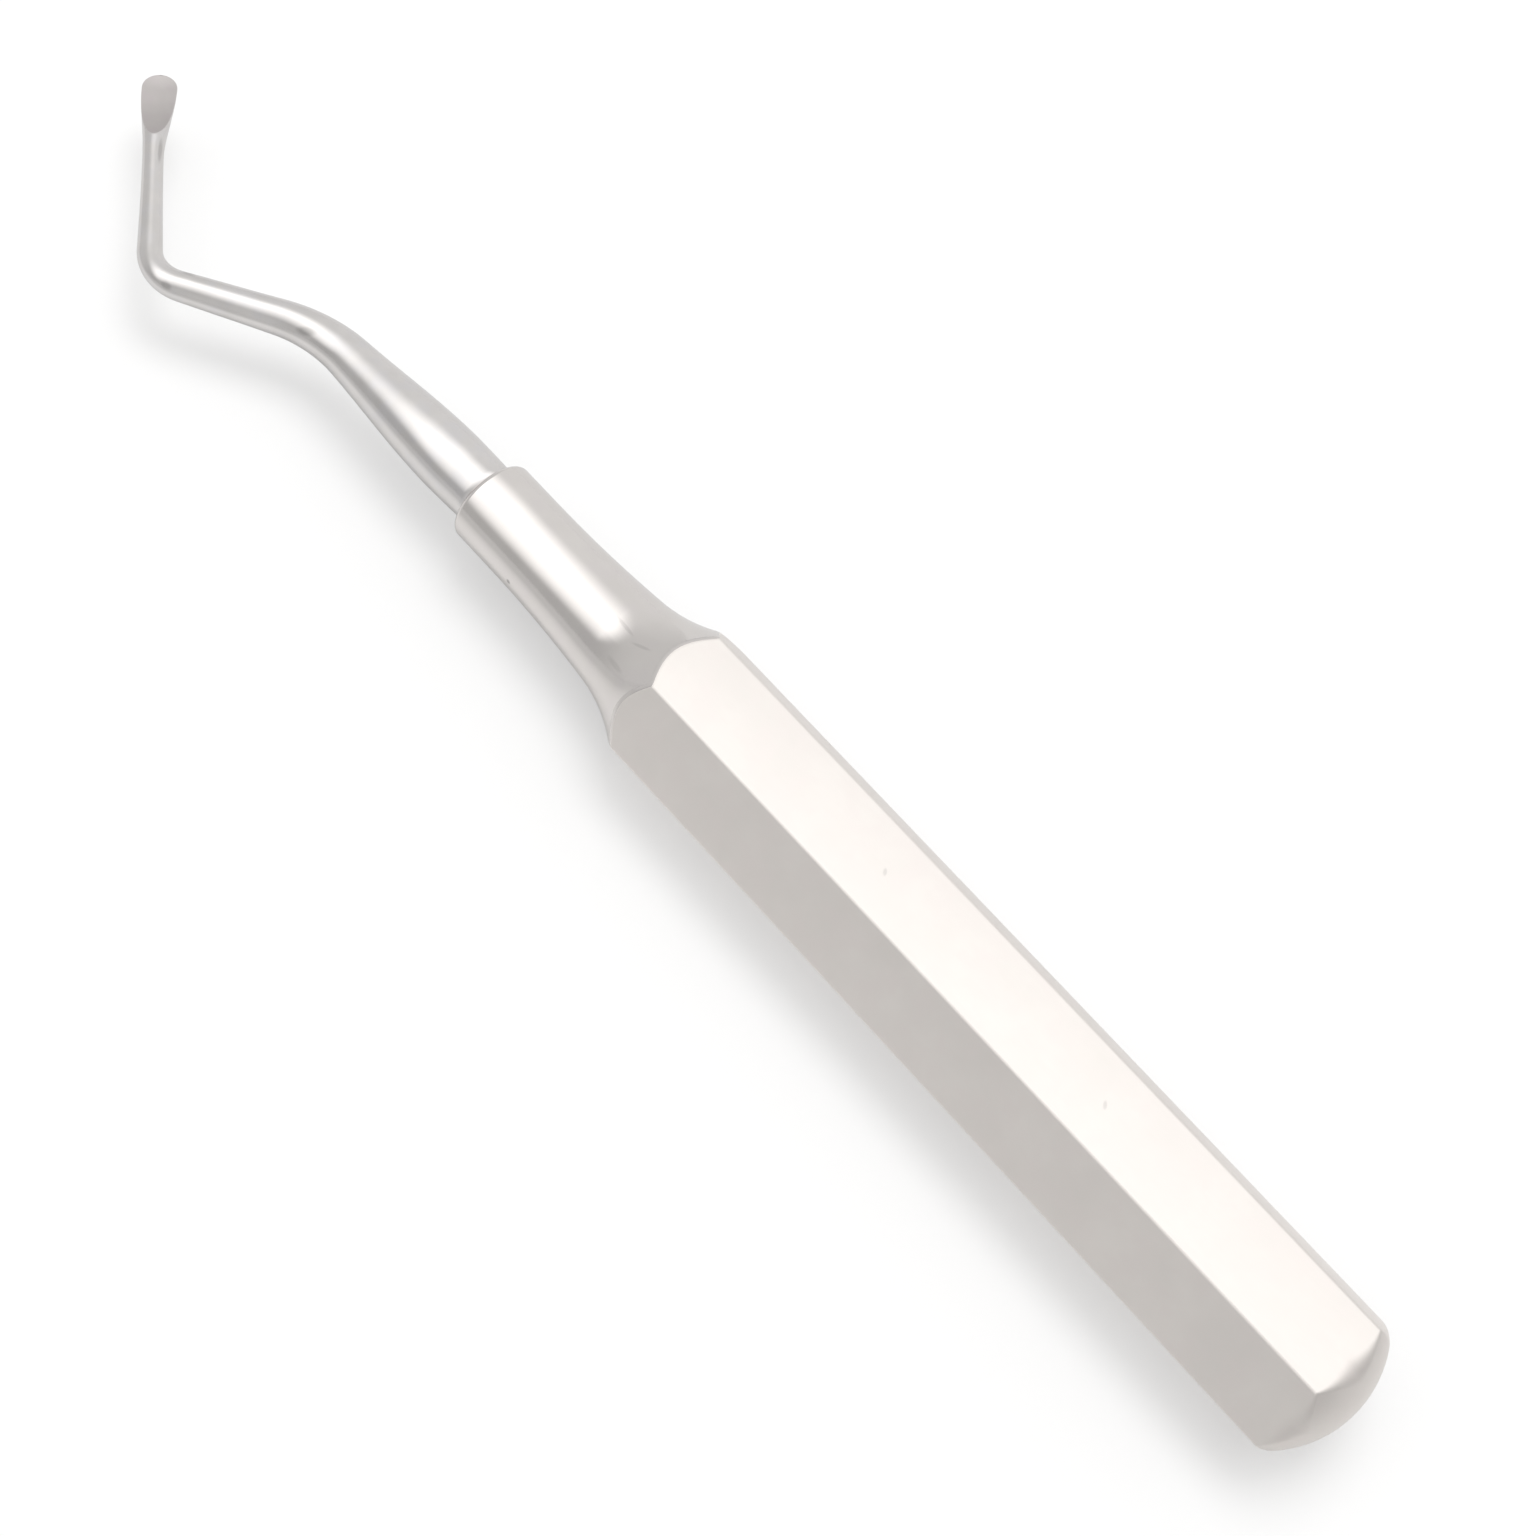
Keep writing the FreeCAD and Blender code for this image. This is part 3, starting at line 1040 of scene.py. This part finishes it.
    def scoop_tool(self) -> Piece:
        """Block above the spoon, whose underside is the rim and the hollow.

        Returns:
            The closed cutting shape.
        """
        heel = -self.throat_to_nose_centre
        nose = self.spoon_width / 2.0 - self.bowl_wall
        behind = [heel * (1.0 - step / self.scoop_rings) for step in range(self.scoop_rings + 1)]
        turns = [QUARTER_TURN * step / self.scoop_steps for step in range(1, self.scoop_steps + 1)]
        stations = behind + [nose * math.sin(turn) for turn in turns] + [2.0 * nose]
        form = RingTurner("scoop_tool", self.scoop_ring(stations[0]))
        for forward in stations[1:]:
            form.grow(self.scoop_ring(forward))
        return form.close()

    def build(self) -> None:
        """Builds, cuts, dresses and mounts the working end."""
        obj = self.grow()
        obj.data.materials.append(self.finishes[Zone.POLISHED].build())
        matte = self.finishes[Zone.BOWL].build()
        tool = self.scoop_tool()
        tool.data.materials.append(matte)
        Bench.cut(obj, tool)
        Bench.weld(obj, CUT_WELD_DISTANCE)
        Bench.smooth(obj)
        Bench.to_metres(obj)
        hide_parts("working_end")
        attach(obj, "root")
        LOG.info("working end: %d faces, centreline %.1f mm", len(obj.data.polygons), self.ends[-1])


# Studio


def grey(level: float) -> Tuple[float, float, float, float]:
    """An opaque grey."""
    return (level, level, level, 1.0)


@dataclass
class Studio:
    """White table, a wide soft box overhead and a plain grey room.

    Sizes are in metres. Spans say where an ease starts and ends, and slopes what each axis adds to its input.
    """

    table_size: float = 1.6
    table_cuts: int = 3
    box_glow: float = 1.70
    left_room: float = 0.49
    left_back_room: float = 0.62
    right_room: float = 0.80
    end_room: float = 0.64
    butt_room: float = 0.42
    glow_colour: Triple = (1.0, 0.998, 0.994)
    sky_floor: float = 0.02
    left_slope: Span = (-0.8, 0.6)
    left_span: Span = (-0.50, 1.00)
    front_slope: float = -0.17
    front_span: Span = (0.45, 1.10)
    back_span: Span = (-0.85, -0.35)
    right_slope: Triple = (0.6, -1.0, -0.3)
    right_span: Span = (-0.30, 1.12)
    left_room_span: Span = (-0.35, 0.35)
    side_span: Span = (-0.5, 0.6)
    end_room_span: Span = (0.5, 0.95)
    butt_room_span: Span = (-0.9, -0.35)
    key_direction: Triple = (0.16, -0.26, 0.95)
    key_colour: Triple = (1.0, 1.0, 0.995)
    key_distance: float = 0.7
    key_size: float = 0.42
    key_radiance: float = 3.0
    table_tone: float = 0.60
    table_lift: float = 0.335
    mirror_lift: float = 0.07
    # Tones of the table seen only in reflections: painted shade behind, beside and far from the curette, and
    # beyond its butt
    behind_tone: float = 0.61
    near_tone: float = 0.76
    far_tone: float = 0.47
    butt_shade: float = 0.26
    beside_slope: float = -0.25
    beside_span: Span = (-0.016, -0.004)
    away_slope: float = -0.10
    away_span: Span = (-0.004, 0.030)
    butt_span: Span = (-0.058, -0.040)

    def table(self) -> None:
        """Lays the table that the curette lies on, seen evenly white, while reflections show it with painted
        shade: greyer on the -Y side, lightest just beside the curette on the +Y side, darker further out
        there and darker again beyond the butt.
        """
        Bench.clear()
        bpy.ops.mesh.primitive_plane_add(size=self.table_size, location=(0.0, 0.0, 0.0))
        obj = bpy.context.object
        obj.name = "table"
        Bench.edit(obj)
        bpy.ops.mesh.subdivide(number_cuts=self.table_cuts)
        bpy.ops.object.mode_set(mode="OBJECT")
        material = bpy.data.materials.new("white_table")
        material.use_nodes = True
        board = NodeBoard(material.node_tree)
        output = board.add("ShaderNodeOutputMaterial")
        matte = board.add("ShaderNodeBsdfDiffuse")
        glow = board.add("ShaderNodeEmission")
        path = board.add("ShaderNodeLightPath")
        place = board.add("ShaderNodeTexCoord")
        x, y, _ = board.add("ShaderNodeSeparateXYZ", place.outputs["Object"]).outputs
        # Painted shade on the table, seen only in reflections: its tone by side, by distance and beyond the
        # butt
        slanted = board.math("MULTIPLY_ADD", x, self.beside_slope, y)
        away = board.math("MULTIPLY_ADD", x, self.away_slope, y)
        dim = board.ease(away, self.away_span)
        near = board.ease(slanted, self.beside_span)
        painted_shade_by_side = board.blend(near, grey(self.behind_tone), grey(self.near_tone))
        beyond_butt = board.ease(x, self.butt_span, self.butt_shade, 0.0)
        painted_shade_in_reflections = board.blend(beyond_butt, board.blend(dim, painted_shade_by_side, grey(self.far_tone)), grey(0.0))
        direct = path.outputs["Is Camera Ray"]
        board.link(board.blend(direct, painted_shade_in_reflections, grey(self.table_tone)), matte.inputs["Color"])
        mirror = board.math("MULTIPLY", path.outputs["Is Glossy Ray"], self.mirror_lift)
        board.link(board.math("MULTIPLY_ADD", direct, self.table_lift, mirror), glow.inputs["Strength"])
        both = board.add("ShaderNodeAddShader", matte.outputs[0], glow.outputs[0])
        board.link(both.outputs[0], output.inputs["Surface"])
        obj.data.materials.append(material)

    def room(self) -> None:
        """Sets the room and its overhead soft box, as the world's light by direction."""
        world = bpy.data.worlds.new("studio")
        bpy.context.scene.world = world
        world.use_nodes = True
        board = NodeBoard(world.node_tree)
        output = board.add("ShaderNodeOutputWorld")
        glow = board.add("ShaderNodeBackground")
        glow.inputs["Color"].default_value = (*self.glow_colour, 1.0)
        board.link(glow.outputs[0], output.inputs["Surface"])
        place = board.add("ShaderNodeTexCoord")
        x, y, z = board.add("ShaderNodeSeparateXYZ", place.outputs["Generated"]).outputs
        height = board.math("MAXIMUM", z, self.sky_floor)
        along = board.math("DIVIDE", x, height)
        across = board.math("DIVIDE", y, height)
        slant = board.math("MULTIPLY_ADD", along, self.left_slope[0],
                           board.math("MULTIPLY", across, self.left_slope[1]))
        left = board.fade(slant, self.left_span)
        front = board.fade(board.math("MULTIPLY_ADD", across, self.front_slope, along), self.front_span)
        back = board.ease(along, self.back_span)
        fall = board.math("MULTIPLY_ADD", along, self.right_slope[0],
                          board.math("MULTIPLY_ADD", across, self.right_slope[1], self.right_slope[2]))
        right = board.fade(fall, self.right_span)
        box = board.math("MULTIPLY", board.math("MULTIPLY", left, right), board.math("MULTIPLY", front, back))
        left_level = board.ease(x, self.left_room_span, self.left_back_room, self.left_room)
        level = board.toward(board.ease(y, self.side_span), self.right_room, left_level)
        level = board.toward(board.ease(x, self.end_room_span), level, self.end_room)
        level = board.toward(board.fade(x, self.butt_room_span), level, self.butt_room)
        level = board.toward(box, level, self.box_glow)
        path = board.add("ShaderNodeLightPath")
        seen = board.add("ShaderNodeMix", data_type="FLOAT")
        board.link(path.outputs["Is Camera Ray"], seen.inputs["Factor"])
        board.link(level, seen.inputs["A"])
        seen.inputs["B"].default_value = 1.0
        board.link(seen.outputs[0], glow.inputs["Strength"])

    def key(self) -> None:
        """Hangs the soft key lamp."""
        data = bpy.data.lights.new("key", "AREA")
        data.shape = "DISK"
        data.size = self.key_size
        data.energy = self.key_radiance * math.pi * math.pi * (self.key_size / 2.0) ** 2
        data.color = self.key_colour
        lamp = bpy.data.objects.new("key", data)
        bpy.context.scene.collection.objects.link(lamp)
        direction = Vector(self.key_direction).normalized()
        lamp.location = direction * self.key_distance
        lamp.visible_glossy = False
        lamp.rotation_euler = direction.to_track_quat("Z", "Y").to_euler()

    def build(self) -> None:
        """Sets up the table, the room and the lamp."""
        self.table()
        self.room()
        self.key()
        LOG.info("studio: table %.1f m, key %.2f m", self.table_size, self.key_size)


@dataclass
class PhotoCamera:
    """Camera at the photograph's viewpoint."""

    centre: Triple = (-26.018, 79.301, 184.055)
    right: Triple = (-0.66245776, -0.73636745, 0.13752343)
    up: Triple = (0.7016108, -0.54559099, 0.45833695)
    backward: Triple = (-0.26247286, 0.4001168, 0.87807434)
    lens: float = 58.61
    sensor: float = 36.0
    clip: Span = (0.005, 20.0)

    def build(self) -> None:
        """Places the camera and makes it the scene's own."""
        data = bpy.data.cameras.new("photo_camera")
        data.lens = self.lens
        data.sensor_width = self.sensor
        data.sensor_fit = "HORIZONTAL"
        data.clip_start, data.clip_end = self.clip
        camera = bpy.data.objects.new("photo_camera", data)
        bpy.context.scene.collection.objects.link(camera)
        turn = Matrix((self.right, self.up, self.backward)).transposed()
        camera.matrix_world = Matrix.Translation(Vector(self.centre) * MM) @ turn.to_4x4()
        bpy.context.scene.camera = camera
        LOG.info("camera: %.1f mm lens at %s", self.lens, self.centre)


# Assembly


GRIP_FLECKS = (
    Mark((12.9, 0.06, 12.7), (0.45, 0.22, 0.6), -52.0, 0.22),
    Mark((-11.4, 0.10, 12.7), (0.5, 0.22, 0.6), -52.0, 0.22),
)
# Three dark streaks painted into the end of the neck's highlight as painted reflection, and one small real
# fleck
NECK_FLECK_AND_PAINTED_STREAKS = (
    Mark((42.4, 1.0, 10.95), (1.5, 0.22, 0.8), -8.0, 0.24),
    Mark((40.0, 1.45, 11.5), (1.4, 0.2, 0.9), 12.0, 0.2),
    Mark((40.5, 3.6, 10.0), (1.5, 0.25, 0.9), -10.0, 0.16),
    Mark((53.3, 3.95, 6.6), (0.3, 0.3, 0.3), 0.0, 0.8),
)
# Three dark blotches at the edges of the shank's highlights, and one long dark streak on the last run that is
# a painted reflection of a dark band
SHANK_BLOTCHES_AND_PAINTED_STREAK = (
    Mark((82.7, 2.4, 7.8), (1.3, 0.45, 0.8), 32.0, 0.45),
    Mark((93.5, 6.6, 7.3), (0.9, 0.4, 0.6), 30.0, 0.4),
    Mark((93.8, 8.75, 7.2), (0.7, 0.4, 0.6), 20.0, 0.35),
    Mark((106.3, 0.42, 6.9), (1.9, 0.25, 0.6), -40.0, 0.4),
)

SATIN = SteelFinish(
    name="satin_steel", tone=(0.92, 0.88, 0.846), shade=(0.89, 0.85, 0.816), tint=(0.905, 0.855, 0.826),
    roughness=0.5, bump=0.12, grain_scale=(400.0, 5000.0, 5000.0), cloud_scale=220.0, tint_scale=450.0,
    tint_share=0.7, marks=GRIP_FLECKS)
NECK = SteelFinish(
    name="polished_neck_steel", tone=(0.81, 0.777, 0.753), shade=(0.785, 0.752, 0.728),
    tint=(0.79, 0.75, 0.74), roughness=0.13, bump=0.03, grain_scale=(2500.0, 900.0, 900.0),
    cloud_scale=350.0, tint_scale=500.0, roughness_spread=0.04, marks=NECK_FLECK_AND_PAINTED_STREAKS)
SHANK = SteelFinish(
    name="polished_shank_steel", tone=(0.79, 0.765, 0.75), shade=(0.745, 0.722, 0.708),
    tint=(0.75, 0.735, 0.745), roughness=0.16, bump=0.04, grain_scale=(1200.0, 1200.0, 1200.0),
    cloud_scale=420.0, tint_scale=600.0, marks=SHANK_BLOTCHES_AND_PAINTED_STREAK)
BOWL = SteelFinish(
    name="matte_bowl_steel", tone=(0.585, 0.556, 0.546), shade=(0.565, 0.536, 0.526),
    tint=(0.575, 0.533, 0.537), roughness=0.5, bump=0.05, grain_scale=(1500.0, 1500.0, 1500.0),
    cloud_scale=700.0, tint_scale=900.0)


def main() -> None:
    """Builds the pieces and the studio in order."""
    logging.basicConfig(level=logging.INFO, format="%(name)s %(message)s", stream=sys.stdout)
    bpy.context.scene.view_settings.view_transform = "Standard"
    PhotoCamera().build()
    handle = Handle(finishes={Zone.SATIN: SATIN, Zone.POLISHED: NECK})
    handle.build()
    finishes = {Zone.POLISHED: SHANK, Zone.BOWL: BOWL}
    WorkingEnd(front=handle.front, axis_height=handle.axis_height, finishes=finishes).build()
    Studio().build()


if __name__ == "__main__":
    main()
